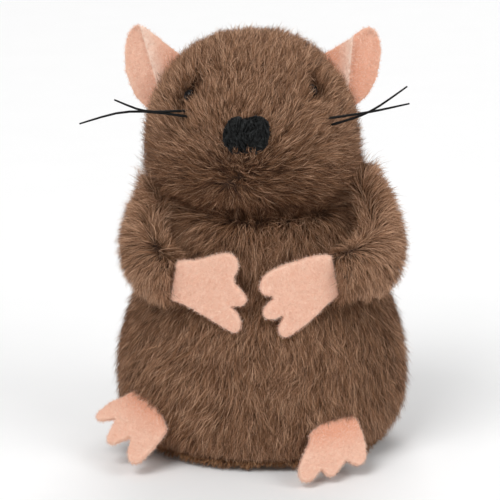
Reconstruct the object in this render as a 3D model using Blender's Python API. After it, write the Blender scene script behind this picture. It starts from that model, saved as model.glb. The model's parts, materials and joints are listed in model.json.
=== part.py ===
"""Plush mole cat toy, built as it is sewn: furry covers, stuffing, felt hands and feet, ears and face.

Metres, +Z up. The toy faces -Y and stands on its base panel, whose flat is centred on the origin.
Left and right are the toy's own, so its left is at +X.
"""

import math

import bmesh
import bpy
import numpy as np
from mathutils import Matrix, Vector

# Clearances and cloth
GAP = 0.0003
PILE_WALL = 0.0035
ARM_WALL = 0.0028
BASE_THICKNESS = 0.0026
FELT = 0.0014
EAR_FELT = 0.0016

# Torso
BODY_HEIGHT = 0.0600
BODY_WIDTH = 0.0672
BELLY_DEPTH = 0.0280
BACK_DEPTH = 0.0258
SIDE_SEAM_Y = 0.0010
POUCH_WIDTH = 0.0260
POUCH_DEPTH = 0.0210
POUCH_HEIGHT = 0.0065

# Neck
NECK_RADIUS = 0.0118
NECK_X = -0.0020
NECK_Y = -0.0025
NECK_SINK = 0.0010
NECK_Z = BODY_HEIGHT - NECK_SINK
NECK_CLEARANCE = 0.0022

# Head
HEAD_WIDTH = 0.0508
HEAD_DEPTH = 0.0450
HEAD_HEIGHT = 0.0410
HEAD_X = -0.0023
HEAD_Y = -0.0030
HEAD_RISE = 0.0181
HEAD_Z = BODY_HEIGHT + HEAD_RISE
CHEEK_LEVEL_SHARE = 0.35
MUZZLE_REACH = 0.0048
MUZZLE_SPREAD = math.radians(30)
MUZZLE_RISE = math.radians(16)
ARM_CLEARANCE = 0.0017

# Face
EYE_RADIUS = 0.0015
EYE_SINK = 0.0010
EYE_SPACING = 0.0297
EYE_RISE = {"right": 0.0079, "left": 0.0092}
NOSE_WIDTH = 0.0112
NOSE_HEIGHT = 0.0092
NOSE_THICKNESS = 0.0010
NOSE_X = -0.0037
NOSE_RISE = 0.0014
WHISKER_RADIUS = 0.0002
WHISKER_LENGTH = 0.0230
WHISKER_PITCH = {"right": 0.0009, "left": 0.0014}
WHISKER_ROOT_SHARE = {"right": 0.590, "left": 0.534}
CHEEK_SHARE = {"right": 0.64, "left": 0.72}

# Ears
EAR_WIDTH = 0.0158
EAR_HEIGHT = {"right": 0.0133, "left": 0.0128}
EAR_CUP = 0.0020
EAR_GAP = 0.0008
EAR_SINK = 0.0021
EAR_TURN = math.radians(96)
EAR_RISE = {"right": math.radians(32.5), "left": math.radians(33.5)}
EAR_LEAN = {"right": math.radians(35), "left": math.radians(28)}

# Limbs
ARM_THICKNESS = 0.0132
ARM_BREADTH = 0.0168
ARM_OPENING = 0.0046
HAND_LENGTH = 0.0160
HAND_SPREAD = 0.0197
HAND_TURN = {"right": math.radians(18), "left": math.radians(9)}
FOOT_LENGTH = 0.0110
FOOT_GAP = 0.0007
FOOT_SPREAD = 0.0170
FOOT_AZIMUTH = {"right": math.radians(-54), "left": math.radians(33)}
FOOT_HEIGHT = {"right": 0.0117, "left": 0.0097}
FOOT_ROLL = {"right": math.radians(-19), "left": math.radians(4)}
FOOT_DROOP = {"right": math.radians(37), "left": math.radians(51)}

SIDES = {"right": -1, "left": 1}

# Torso outline: height, width, belly and back, as shares of the torso's own sizes
TORSO_SHARES = [
    (0.00, 0.66, 0.68, 0.66),
    (0.02, 0.80, 0.86, 0.82),
    (0.06, 0.88, 0.94, 0.90),
    (0.14, 0.97, 0.99, 0.96),
    (0.26, 1.00, 1.00, 1.00),
    (0.41, 0.98, 0.97, 1.00),
    (0.55, 0.91, 0.92, 0.96),
    (0.68, 0.82, 0.87, 0.91),
    (0.79, 0.75, 0.82, 0.86),
    (0.88, 0.68, 0.77, 0.80),
    (0.95, 0.57, 0.67, 0.69),
    (0.99, 0.36, 0.44, 0.44),
]

# Arm route from shoulder to wrist: place, thickness and breadth, as shares of the torso's and arm's sizes
ARM_SHARES = {
    "right": [
        (0.65, 0.00, 1.100, 0.38, 0.45),
        (0.705, 0.05, 1.010, 0.78, 0.86),
        (0.78, 0.14, 0.900, 0.96, 1.00),
        (0.80, 0.32, 0.800, 1.00, 1.02),
        (0.745, 0.58, 0.768, 0.94, 0.97),
        (0.665, 0.75, 0.758, 0.82, 0.84),
        (0.575, 0.83, 0.745, 0.72, 0.70),
    ],
    "left": [
        (0.64, 0.00, 1.110, 0.38, 0.45),
        (0.70, 0.05, 1.030, 0.80, 0.88),
        (0.78, 0.14, 0.905, 0.97, 1.00),
        (0.81, 0.32, 0.795, 1.00, 1.05),
        (0.74, 0.60, 0.785, 0.94, 1.00),
        (0.60, 0.80, 0.784, 0.82, 0.84),
        (0.47, 0.875, 0.768, 0.72, 0.72),
    ],
}

# Felt outlines, from the sewn edge round the digits: along and across, as shares of length and spread
HAND_SHARES = {
    "right": [
        (0.00, -0.23), (0.13, -0.25), (0.48, -0.33), (0.85, -0.43), (0.96, -0.42), (0.98, -0.28),
        (0.86, -0.16), (0.73, -0.12), (0.94, -0.09), (1.00, 0.00), (0.92, 0.08), (0.72, 0.19),
        (0.80, 0.34), (0.75, 0.46), (0.61, 0.52), (0.31, 0.38), (0.00, 0.24),
    ],
    "left": [
        (0.00, -0.23), (0.08, -0.30), (0.40, -0.46), (0.76, -0.58), (0.84, -0.54), (0.86, -0.45),
        (0.80, -0.37), (0.68, -0.27), (0.90, -0.32), (1.03, -0.26), (1.00, -0.14), (0.77, -0.05),
        (0.98, 0.01), (1.00, 0.12), (0.91, 0.23), (0.70, 0.29), (0.10, 0.31), (0.00, 0.25),
    ],
}
FOOT_SHARES = {
    "right": [
        (0.00, -0.43), (0.12, -0.50), (0.37, -0.57), (0.72, -0.56), (0.82, -0.53), (0.84, -0.46),
        (0.66, -0.36), (0.50, -0.28), (0.68, -0.22), (0.97, -0.11), (1.00, -0.04), (0.94, 0.04),
        (0.68, 0.09), (0.54, 0.14), (0.70, 0.22), (0.92, 0.38), (0.94, 0.47), (0.88, 0.56),
        (0.55, 0.55), (0.12, 0.48), (0.00, 0.43),
    ],
    "left": [
        (0.00, -0.38), (0.16, -0.52), (0.43, -0.71), (0.60, -0.79), (0.79, -0.80), (0.86, -0.71),
        (0.83, -0.61), (0.65, -0.45), (0.77, -0.42), (0.86, -0.38), (0.89, -0.31), (0.74, -0.14),
        (0.61, -0.03), (0.72, 0.02), (0.84, 0.10), (0.77, 0.23), (0.62, 0.31), (0.20, 0.37), (0.00, 0.36),
    ],
}

# Ear outline, base to tip: height, lower edge and upper edge, as shares of its height and width
EAR_SHARES = [
    (0.00, -0.50, 0.47),
    (0.22, -0.44, 0.50),
    (0.45, -0.33, 0.52),
    (0.68, -0.18, 0.53),
    (0.87, 0.04, 0.54),
    (0.97, 0.19, 0.50),
    (1.00, 0.32, 0.41),
]

# Nose outline: across and up, as shares of its width and height
NOSE_SHARES = [
    (-0.50, 0.02), (-0.36, 0.34), (-0.20, 0.48), (0.02, 0.42), (0.26, 0.50), (0.44, 0.38),
    (0.50, 0.16), (0.44, -0.22), (0.28, -0.46), (0.02, -0.40), (-0.22, -0.50), (-0.42, -0.30),
]

# Whiskers: side, level of the root with 0 the lower, then the reach, forward lean and rise of the
# middle and the tip as shares of the whisker's length
WHISKER_SHARES = {
    "whisker_right_lower": ("right", 0, (0.50, 0.05, 0.05), (0.98, 0.04, -0.08)),
    "whisker_right_upper": ("right", 1, (0.33, 0.09, 0.02), (0.63, 0.12, 0.14)),
    "whisker_left_lower": ("left", 0, (0.34, 0.16, 0.16), (0.70, 0.24, 0.43)),
    "whisker_left_upper": ("left", 1, (0.37, 0.05, 0.07), (0.74, 0.04, 0.15)),
}

# Places along an arm and at the shoulder
SHOULDER_SHARE = 1 / 3
SHOULDER_OUT_SHARE = 0.34
SHOULDER_BACK_SHARE = 0.20
ARM_HOLLOW_SHARES = (0.18, 0.86)
ARM_FILLING_SHARES = (0.20, 0.84)
ARM_STEP_SHARE = 0.02
CHEEK_FULLNESS_SHARE = 0.88
POUCH_RISE_SHARE = 0.25
SHARP_ANGLE = math.radians(40)

# Facet counts
AROUND_BODY = 28
AROUND_HEAD = 28
AROUND_LIMB = 16
AROUND_BALL = 20
AROUND_BEAD = 12
TORSO_RINGS = 18
HEAD_RINGS = 14
ARM_RINGS = 12
EAR_ROWS = 9
EAR_COLUMNS = 16
WHISKER_STEPS = 8
WHISKER_SIDES = 6
ROOT_ROUNDING = 3
REACH_SAMPLES = 200

# Colours, linear red, green and blue
FUR_BROWN = (0.165, 0.078, 0.042)
BASE_BROWN = (0.120, 0.055, 0.030)
FELT_PINK = (0.800, 0.470, 0.330)
THREAD_BLACK = (0.010, 0.010, 0.011)
BEAD_BLACK = (0.006, 0.006, 0.006)
STUFFING_WHITE = (0.800, 0.790, 0.760)
COTTON_CREAM = (0.620, 0.560, 0.450)


def clear_scene():
    """Removes every object of the scene."""
    for item in list(bpy.data.objects):
        bpy.data.objects.remove(item, do_unlink=True)


def finish(name, colour, roughness):
    """A Principled material with a flat colour."""
    material = bpy.data.materials.new(name)
    material.use_nodes = True
    shader = material.node_tree.nodes["Principled BSDF"]
    shader.inputs["Base Color"].default_value = (*colour, 1)
    shader.inputs["Roughness"].default_value = roughness
    shader.inputs["Metallic"].default_value = 0
    return material


def object_from(name, bm):
    """A scene object that holds the bmesh as triangles, with its faces pointing out."""
    bmesh.ops.recalc_face_normals(bm, faces=bm.faces)
    bmesh.ops.triangulate(bm, faces=bm.faces)
    mesh = bpy.data.meshes.new(name)
    bm.to_mesh(mesh)
    bm.free()
    item = bpy.data.objects.new(name, mesh)
    bpy.context.collection.objects.link(item)
    return item


def smooth_through(stations, share):
    """Values at a share of the way through the stations, on a Catmull-Rom curve."""
    spans = len(stations) - 1
    place = share * spans
    start = min(int(place), spans - 1)
    t = place - start
    near = [np.array(stations[min(max(start + i, 0), spans)]) for i in (-1, 0, 1, 2)]
    before, first, last, after = near
    bend = 2 * before - 5 * first + 4 * last - after
    twist = 3 * first - before - 3 * last + after
    return 0.5 * (2 * first + (last - before) * t + bend * t**2 + twist * t**3)


def rounded(points, rounds, closed):
    """An outline with its corners cut in rounds, an open one between its two ends."""
    for _ in range(rounds):
        cut_points = []
        following = points[1:] + points[:1] if closed else points[1:]
        for here, there in zip(points, following):
            cut_points.append(tuple(0.75 * a + 0.25 * b for a, b in zip(here, there)))
            cut_points.append(tuple(0.25 * a + 0.75 * b for a, b in zip(here, there)))
        points = cut_points if closed else [points[0]] + cut_points[1:-1] + [points[-1]]
    return points


def oval(centre, across, ahead, half_width, half_ahead, half_behind, count):
    """A ring of points round the centre, with its own depth ahead and behind."""
    ring = []
    for i in range(count):
        angle = 2 * math.pi * i / count
        depth = half_ahead if math.cos(angle) > 0 else half_behind
        ring.append(centre + across * half_width * math.sin(angle) + ahead * depth * math.cos(angle))
    return ring


def skin(name, rings, first_pole, last_pole):
    """A closed body through the rings, with a fan of faces at each end."""
    bm = bmesh.new()
    loops = [[bm.verts.new(point) for point in ring] for ring in rings]
    for lower, upper in zip(loops, loops[1:]):
        for i in range(len(lower)):
            j = (i + 1) % len(lower)
            bm.faces.new((lower[i], lower[j], upper[j], upper[i]))
    for loop, pole in ((loops[0], first_pole), (loops[-1], last_pole)):
        tip = bm.verts.new(pole)
        for i in range(len(loop)):
            bm.faces.new((loop[i], loop[(i + 1) % len(loop)], tip))
    return object_from(name, bm)


def ball(name, centre, radius, around=AROUND_BALL):
    """A sphere."""
    bm = bmesh.new()
    place = Matrix.Translation(centre)
    bmesh.ops.create_uvsphere(bm, u_segments=around, v_segments=around // 2, radius=radius, matrix=place)
    return object_from(name, bm)


def block(name, low, high):
    """A box between two corners, for cutting."""
    bm = bmesh.new()
    low, high = Vector(low), Vector(high)
    middle = (low + high) / 2
    size = Matrix.Diagonal((*(high - low), 1))
    bmesh.ops.create_cube(bm, size=1, matrix=Matrix.Translation(middle) @ size)
    return object_from(name, bm)


def combine(piece, other, operation):
    """Changes the piece's mesh by a Boolean with the other object, and deletes the other."""
    change = piece.modifiers.new(operation, "BOOLEAN")
    change.object = other
    change.operation = operation
    change.solver = "EXACT"
    change.use_self = True
    graph = bpy.context.evaluated_depsgraph_get()
    piece.data = bpy.data.meshes.new_from_object(piece.evaluated_get(graph))
    piece.modifiers.clear()
    bpy.data.objects.remove(other)


def cut(piece, *others):
    """Takes the others away from the piece."""
    for other in others:
        combine(piece, other, "DIFFERENCE")


def keep_inside(piece, low, high):
    """Keeps what lies between two corners."""
    combine(piece, block("kept_space", low, high), "INTERSECT")


def reach():
    """A length past every side of the toy."""
    return BODY_WIDTH + BODY_HEIGHT + HEAD_HEIGHT


def complete(piece, material, hinge=None):
    """Gives the piece its material and smooth shading, and hangs it on its hinge."""
    piece.data.materials.clear()
    piece.data.materials.append(material)
    piece.data.shade_smooth()
    piece.data.set_sharp_from_angle(angle=SHARP_ANGLE)
    if hinge:
        piece.parent = hinge
        piece.matrix_parent_inverse = hinge.matrix_world.inverted()
    return piece


def hinge_at(name, place, axis, carrier=None):
    """An empty on a joint's axis, with its own Z along the axis."""
    empty = bpy.data.objects.new(name, None)
    empty.empty_display_size = NECK_RADIUS
    bpy.context.collection.objects.link(empty)
    turn = Vector((0, 0, 1)).rotation_difference(axis).to_matrix().to_4x4()
    empty.matrix_world = Matrix.Translation(place) @ turn
    bpy.context.view_layer.update()
    if carrier:
        empty.parent = carrier
        empty.matrix_parent_inverse = carrier.matrix_world.inverted()
    bpy.context.view_layer.update()
    return empty


def torso_ring(share, grow):
    """The torso's outline at a share of its height, grown outward."""
    height, width, belly, back = smooth_through(TORSO_SHARES, share)
    centre = Vector((0, 0, height * (BODY_HEIGHT + grow)))
    sizes = (width * BODY_WIDTH / 2 + grow, belly * BELLY_DEPTH + grow, back * BACK_DEPTH + grow)
    return oval(centre, Vector((1, 0, 0)), Vector((0, -1, 0)), *sizes, AROUND_BODY)


def torso_form(grow=0):
    """The pear shape of the torso, flat underneath."""
    rings = [torso_ring(i / (TORSO_RINGS - 1), grow) for i in range(TORSO_RINGS)]
    return skin("torso_form", rings, Vector((0, 0, 0)), Vector((0, 0, BODY_HEIGHT + grow)))


def head_point(turn, rise, grow):
    """A point of the head: an egg with low full cheeks and a muzzle ahead."""
    fullness = math.cos(rise) ** CHEEK_FULLNESS_SHARE
    facing = Vector((math.sin(turn) * math.cos(rise), -math.cos(turn) * math.cos(rise), math.sin(rise)))
    muzzle = Vector((0, -math.cos(MUZZLE_RISE), math.sin(MUZZLE_RISE)))
    away = facing.angle(muzzle) / MUZZLE_SPREAD
    snout = MUZZLE_REACH * math.exp(-away * away)
    x = HEAD_X + (HEAD_WIDTH / 2 + grow) * fullness * math.sin(turn)
    y = HEAD_Y - (HEAD_DEPTH / 2 + grow) * fullness * math.cos(turn) - snout
    cheek_z, height = head_half(rise > 0)
    return Vector((x, y, cheek_z + (height + grow) * math.sin(rise)))


def head_half(above):
    """The level of the cheeks, where the head is widest, and the head's height above or below it."""
    below_height = CHEEK_LEVEL_SHARE * HEAD_HEIGHT
    cheek_z = HEAD_Z - HEAD_HEIGHT / 2 + below_height
    return cheek_z, HEAD_HEIGHT - below_height if above else below_height


def head_form(grow=0):
    """The round head with its muzzle."""
    rings = []
    for i in range(1, HEAD_RINGS):
        rise = math.pi * (i / HEAD_RINGS - 0.5)
        rings.append([head_point(2 * math.pi * j / AROUND_HEAD, rise, grow) for j in range(AROUND_HEAD)])
    bottom = Vector((HEAD_X, HEAD_Y, HEAD_Z - HEAD_HEIGHT / 2 - grow))
    top = Vector((HEAD_X, HEAD_Y, HEAD_Z + HEAD_HEIGHT / 2 + grow))
    return skin("head_form", rings, bottom, top)


def neck_place():
    """The middle of the neck, about which the head nods and turns."""
    return Vector((NECK_X, NECK_Y, NECK_Z))


def arm_station(side, share):
    """Middle of the arm and its half thickness and half breadth, at a share of its length."""
    x, y, z, thickness, breadth = smooth_through(ARM_SHARES[side], share)
    middle = Vector((SIDES[side] * x * BODY_WIDTH / 2, -y * BELLY_DEPTH, z * BODY_HEIGHT))
    return middle, thickness * ARM_THICKNESS / 2, breadth * ARM_BREADTH / 2


def arm_frame(side, share):
    """Directions of the arm at a share of its length: along it, away from the torso and across."""
    before = arm_station(side, max(share - ARM_STEP_SHARE, 0))[0]
    after = arm_station(side, min(share + ARM_STEP_SHARE, 1))[0]
    along = (after - before).normalized()
    middle = arm_station(side, share)[0]
    outward = Vector((middle.x, middle.y, 0))
    outward = (outward - along * outward.dot(along)).normalized()
    return along, outward, along.cross(outward)


def arm_form(side, grow=0, first_share=0, last_share=1):
    """A bent limb from the shoulder to the wrist, its wrist end flat."""
    rings = []
    for i in range(ARM_RINGS):
        share = first_share + (last_share - first_share) * i / (ARM_RINGS - 1)
        middle, thick, broad = arm_station(side, share)
        along, outward, across = arm_frame(side, share)
        rings.append(oval(middle, across, outward, broad + grow, thick + grow, thick + grow, AROUND_LIMB))
    start, start_thick, _ = arm_station(side, first_share)
    tip = start - arm_frame(side, first_share)[0] * (start_thick + grow) / 2
    return skin("arm_form", rings, tip, arm_station(side, last_share)[0])


def plate(name, outline, origin, along, across, thickness):
    """Felt cut to an outline of places along and across, its sewn edge rounded where it turns."""
    normal = along.cross(across)
    bm = bmesh.new()
    lower = [bm.verts.new(origin + along * a + across * b - normal * thickness / 2) for a, b in outline]
    face = bm.faces.new(lower)
    top = bmesh.ops.extrude_face_region(bm, geom=[face])
    moved = [part for part in top["geom"] if isinstance(part, bmesh.types.BMVert)]
    bmesh.ops.translate(bm, verts=moved, vec=normal * thickness)
    bmesh.ops.recalc_face_normals(bm, faces=bm.faces)
    root = [edge for edge in bm.edges if is_root_edge(edge, origin, along, across)]
    bmesh.ops.bevel(
        bm, geom=root, offset=thickness / 2 - GAP / 2, segments=ROOT_ROUNDING, profile=0.5, affect="EDGES"
    )
    return object_from(name, bm)


def is_root_edge(edge, origin, along, across):
    """Whether an edge of a felt plate runs along its sewn side."""
    ends = [vertex.co - origin for vertex in edge.verts]
    on_root = all(abs(end.dot(along)) < GAP for end in ends)
    return on_root and abs((ends[0] - ends[1]).dot(across)) > GAP


def felt_outline(shares, length, spread, root_inset):
    """A felt outline in metres: its digits rounded, its sewn edge kept straight."""
    digits = rounded([(a * length, b * spread) for a, b in shares], 2, False)
    return [(root_inset, digits[0][1])] + digits[1:-1] + [(root_inset, digits[-1][1])]


def make_torso(fur, base_cloth, stuffing, cotton):
    """Front, back and base panels round the stuffing, with the catnip pouch at the bottom."""
    low, far = BASE_THICKNESS + GAP, reach()
    for name, front, back in (("body_front_panel", -far, -GAP / 2), ("body_back_panel", GAP / 2, far)):
        panel = torso_form()
        panel.name = name
        cut(panel, torso_form(-PILE_WALL), ball("neck_space", neck_place(), NECK_RADIUS + GAP))
        cut(panel, head_form(NECK_CLEARANCE))
        keep_inside(panel, (-far, SIDE_SEAM_Y + front, low), (far, SIDE_SEAM_Y + back, far))
        complete(panel, fur)
    base = torso_form()
    base.name = "base_panel"
    keep_inside(base, (-far, -far, -far), (far, far, BASE_THICKNESS))
    complete(base, base_cloth)
    filling = torso_form(-PILE_WALL - GAP)
    filling.name = "body_filling"
    keep_inside(filling, (-far, -far, low), (far, far, far))
    cut(filling, ball("neck_space", neck_place(), NECK_RADIUS + GAP), pouch_form(GAP))
    complete(filling, stuffing)
    pouch = pouch_form()
    pouch.name = "catnip_pouch"
    keep_inside(pouch, (-far, -far, low), (far, far, far))
    complete(pouch, cotton)


def pouch_form(grow=0):
    """A small flat bag that lies on the base panel."""
    bm = bmesh.new()
    bmesh.ops.create_uvsphere(bm, u_segments=AROUND_BALL, v_segments=AROUND_BALL // 2, radius=1)
    size = Matrix.Diagonal((POUCH_WIDTH / 2 + grow, POUCH_DEPTH / 2 + grow, POUCH_HEIGHT / 2 + grow, 1))
    place = Matrix.Translation((0, 0, BASE_THICKNESS + POUCH_RISE_SHARE * POUCH_HEIGHT))
    bmesh.ops.transform(bm, matrix=place @ size, verts=bm.verts)
    return object_from("pouch_form", bm)


def eye_place(side):
    """The middle of an eye bead, half sunk in the pile of the face."""
    x = HEAD_X + SIDES[side] * EYE_SPACING / 2
    return on_head(x, HEAD_Z + EYE_RISE[side], -EYE_SINK)


def on_head(x, z, grow):
    """The point on the front of the head at a place across and up."""
    cheek_z, height = head_half(z > head_half(True)[0])
    rise = math.asin((z - cheek_z) / (height + grow))
    fullness = math.cos(rise) ** CHEEK_FULLNESS_SHARE
    turn = math.asin((x - HEAD_X) / ((HEAD_WIDTH / 2 + grow) * fullness))
    return head_point(turn, rise, grow)


def make_head(fur, stuffing, thread, bead, bristle, carrier):
    """Two side panels sewn down the middle, stuffing, eyes, nose and whiskers."""
    far = reach()
    for side, sign in SIDES.items():
        panel = head_form()
        panel.name = f"head_{side}_panel"
        cut(panel, head_form(-PILE_WALL), ball("neck_space", neck_place(), NECK_RADIUS + GAP))
        cut(panel, ball("eye_space", eye_place(side), EYE_RADIUS + GAP, AROUND_BEAD))
        edges = sorted((sign * GAP / 2, sign * far))
        keep_inside(panel, (HEAD_X + edges[0], -far, 0), (HEAD_X + edges[1], far, far))
        complete(panel, fur, carrier)
        eye = ball(f"eye_{side}", eye_place(side), EYE_RADIUS, AROUND_BEAD)
        complete(eye, bead, carrier)
    filling = head_form(-PILE_WALL - GAP)
    filling.name = "head_filling"
    cut(filling, ball("neck_space", neck_place(), NECK_RADIUS + GAP))
    complete(filling, stuffing, carrier)
    make_nose(thread, carrier)
    for name, shares in WHISKER_SHARES.items():
        make_whisker(name, *shares, bristle, carrier)


def make_nose(thread, carrier):
    """The embroidered pad that follows the muzzle."""
    nose_z = HEAD_Z + NOSE_RISE
    outline = rounded([(NOSE_X + a * NOSE_WIDTH, nose_z + b * NOSE_HEIGHT) for a, b in NOSE_SHARES], 1, True)
    bm = bmesh.new()
    face = bm.faces.new([bm.verts.new((x, HEAD_Y - HEAD_DEPTH, z)) for x, z in outline])
    top = bmesh.ops.extrude_face_region(bm, geom=[face])
    moved = [part for part in top["geom"] if isinstance(part, bmesh.types.BMVert)]
    bmesh.ops.translate(bm, verts=moved, vec=Vector((0, HEAD_DEPTH, 0)))
    nose = object_from("nose_patch", bm)
    combine(nose, head_form(GAP + NOSE_THICKNESS), "INTERSECT")
    cut(nose, head_form(GAP))
    complete(nose, thread, carrier)


def make_whisker(name, side, level, middle_shares, tip_shares, bristle, carrier):
    """A stiff bristle that leaves the cheek and bows to its tip."""
    sign = SIDES[side]
    root_z = HEAD_Z + (WHISKER_ROOT_SHARE[side] - 0.5) * HEAD_HEIGHT + level * WHISKER_PITCH[side]
    root = on_head(HEAD_X + sign * CHEEK_SHARE[side] * HEAD_WIDTH / 2, root_z, 0)
    ends = [(0, 0, 0), middle_shares, tip_shares]
    points = []
    for i in range(WHISKER_STEPS + 1):
        out, ahead, rise = smooth_through(ends, i / WHISKER_STEPS)
        points.append(root + Vector((sign * out, -ahead, rise)) * WHISKER_LENGTH)
    rings = []
    for i, point in enumerate(points):
        along = (points[min(i + 1, WHISKER_STEPS)] - points[max(i - 1, 0)]).normalized()
        across = along.cross(Vector((0, 1, 0))).normalized()
        radius = WHISKER_RADIUS * (1 - 0.5 * i / WHISKER_STEPS)
        rings.append(oval(point, across, along.cross(across), radius, radius, radius, WHISKER_SIDES))
    whisker = skin(name, rings, points[0], points[-1])
    cut(whisker, head_form(GAP))
    complete(whisker, bristle, carrier)


def ear_hinge(side):
    """Middle of the ear's sewn edge, and its directions: out of the head and along the edge."""
    lean = EAR_LEAN[side]
    out = Vector((SIDES[side] * math.cos(lean), 0, math.sin(lean)))
    up = Vector((-SIDES[side] * math.sin(lean), 0, math.cos(lean)))
    return head_point(SIDES[side] * EAR_TURN, EAR_RISE[side], -EAR_SINK), out, up


def make_ear(side, felt, carrier):
    """A cupped leaf of doubled felt, sewn along its lower edge."""
    middle, out, up = ear_hinge(side)
    hinge = hinge_at(f"ear_{side}_hinge", middle, up, carrier)
    behind = Vector((0, 1, 0))
    rings, spine = [], []
    for i in range(EAR_ROWS):
        height, lower, upper = smooth_through(EAR_SHARES, i / (EAR_ROWS - 1))
        half = (upper - lower) * EAR_WIDTH / 2
        centre = middle + out * height * EAR_HEIGHT[side] + up * (upper + lower) * EAR_WIDTH / 2
        ring = oval(centre, up, behind, half, EAR_FELT / 2, EAR_FELT / 2, EAR_COLUMNS)
        deepest = EAR_CUP * height
        cupped = [deepest * (1 - ((point - centre).dot(up) / half) ** 2) for point in ring]
        rings.append([point + behind * depth for point, depth in zip(ring, cupped)])
        spine.append(centre + behind * deepest)
    ear = skin(f"ear_{side}", rings, spine[0], spine[-1])
    cut(ear, head_form(EAR_GAP))
    complete(ear, felt, hinge)


def make_arm(side, fur, stuffing, felt):
    """A furry limb with its stuffing, and the felt hand sewn into its wrist."""
    sign = SIDES[side]
    shoulder = arm_station(side, SHOULDER_SHARE)[0]
    hinge_x = sign * SHOULDER_OUT_SHARE * BODY_WIDTH
    hinge_place = Vector((hinge_x, SHOULDER_BACK_SHARE * BACK_DEPTH, shoulder.z))
    hinge = hinge_at(f"arm_{side}_hinge", hinge_place, Vector((0, 0, 1)))
    opening = shoulder - arm_frame(side, SHOULDER_SHARE)[1] * ARM_THICKNESS / 2
    cover = arm_form(side)
    cover.name = f"arm_cover_{side}"
    cut(cover, torso_form(GAP), head_form(ARM_CLEARANCE))
    cut(cover, arm_form(side, -ARM_WALL, *ARM_HOLLOW_SHARES), ball("opening", opening, ARM_OPENING))
    complete(cover, fur, hinge)
    filling = arm_form(side, -ARM_WALL - GAP, *ARM_FILLING_SHARES)
    filling.name = f"arm_filling_{side}"
    combine(filling, ball("plug", opening, ARM_OPENING - GAP), "UNION")
    cut(filling, torso_form(GAP), head_form(ARM_CLEARANCE))
    complete(filling, stuffing, hinge)
    make_hand(side, felt, hinge)


def make_hand(side, felt, carrier):
    """A felt hand with three fingers, laid over the belly."""
    sign = SIDES[side]
    wrist = arm_station(side, 1)[0]
    along, outward, across = arm_frame(side, 1)
    root = wrist + along * (GAP + FELT / 2)
    up = across if across.z > 0 else -across
    turned = Matrix.Rotation(-sign * HAND_TURN[side], 3, up) @ along
    hinge = hinge_at(f"hand_{side}_hinge", root, up, carrier)
    outline = felt_outline(HAND_SHARES[side], HAND_LENGTH, HAND_SPREAD, -FELT / 2)
    hand = plate(f"hand_{side}", outline, root, turned, up, FELT)
    complete(hand, felt, hinge)


def make_foot(side, felt):
    """A felt foot with three toes, sewn low on the belly and sloping to the ground."""
    azimuth = FOOT_AZIMUTH[side]
    out = Vector((math.sin(azimuth), -math.cos(azimuth), 0))
    seam = out * torso_reach(azimuth, FOOT_HEIGHT[side])
    root = seam + out * (FOOT_GAP + FELT / 2) + Vector((0, 0, FOOT_HEIGHT[side]))
    level = Vector((math.cos(azimuth), math.sin(azimuth), 0))
    axis = (level * math.cos(FOOT_ROLL[side]) + Vector((0, 0, 1)) * math.sin(FOOT_ROLL[side])).normalized()
    along = out * math.cos(FOOT_DROOP[side]) - Vector((0, 0, 1)) * math.sin(FOOT_DROOP[side])
    along = (along - axis * along.dot(axis)).normalized()
    hinge = hinge_at(f"foot_{side}_hinge", root, axis)
    outline = felt_outline(FOOT_SHARES[side], FOOT_LENGTH, FOOT_SPREAD, -FELT / 2)
    foot = plate(f"foot_{side}", outline, root, along, axis, FELT)
    complete(foot, felt, hinge)


def torso_reach(azimuth, height):
    """Distance from the torso's middle line to its surface, at a turn from the front and a height."""
    shares = np.linspace(0, 1, REACH_SAMPLES)
    heights = [smooth_through(TORSO_SHARES, share)[0] * BODY_HEIGHT for share in shares]
    share = float(np.interp(height, heights, shares))
    _, width, belly, _ = smooth_through(TORSO_SHARES, share)
    across = math.sin(azimuth) / (width * BODY_WIDTH / 2)
    ahead = math.cos(azimuth) / (belly * BELLY_DEPTH)
    return 1 / math.hypot(across, ahead)


def main():
    """Builds the whole toy."""
    clear_scene()
    fur = finish("fur_brown", FUR_BROWN, 0.9)
    base_cloth = finish("base_brown", BASE_BROWN, 0.9)
    felt = finish("felt_pink", FELT_PINK, 0.85)
    thread = finish("thread_black", THREAD_BLACK, 0.6)
    bead = finish("bead_black", BEAD_BLACK, 0.15)
    bristle = finish("bristle_black", THREAD_BLACK, 0.4)
    stuffing = finish("stuffing_white", STUFFING_WHITE, 0.95)
    cotton = finish("cotton_cream", COTTON_CREAM, 0.9)
    make_torso(fur, base_cloth, stuffing, cotton)
    nod = hinge_at("head_nod_hinge", neck_place(), Vector((1, 0, 0)))
    neck = ball("neck_stuffing", neck_place(), NECK_RADIUS)
    complete(neck, stuffing, nod)
    turn = hinge_at("head_turn_hinge", neck_place(), Vector((0, 0, 1)), nod)
    make_head(fur, stuffing, thread, bead, bristle, turn)
    for side in SIDES:
        make_ear(side, felt, turn)
        make_arm(side, fur, stuffing, felt)
        make_foot(side, felt)


main()
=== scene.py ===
"""Looks of the plush mole cat toy: combed pile over stuffed skins, felt limbs and ears, a stitched nose.

Metres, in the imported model's own frame: +Z up, the toy faces -Y, and its own left is at +X.
"""

import json
import math

import bmesh
import bpy
import numpy as np
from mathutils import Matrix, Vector, kdtree, noise
from mathutils.bvhtree import BVHTree


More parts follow.
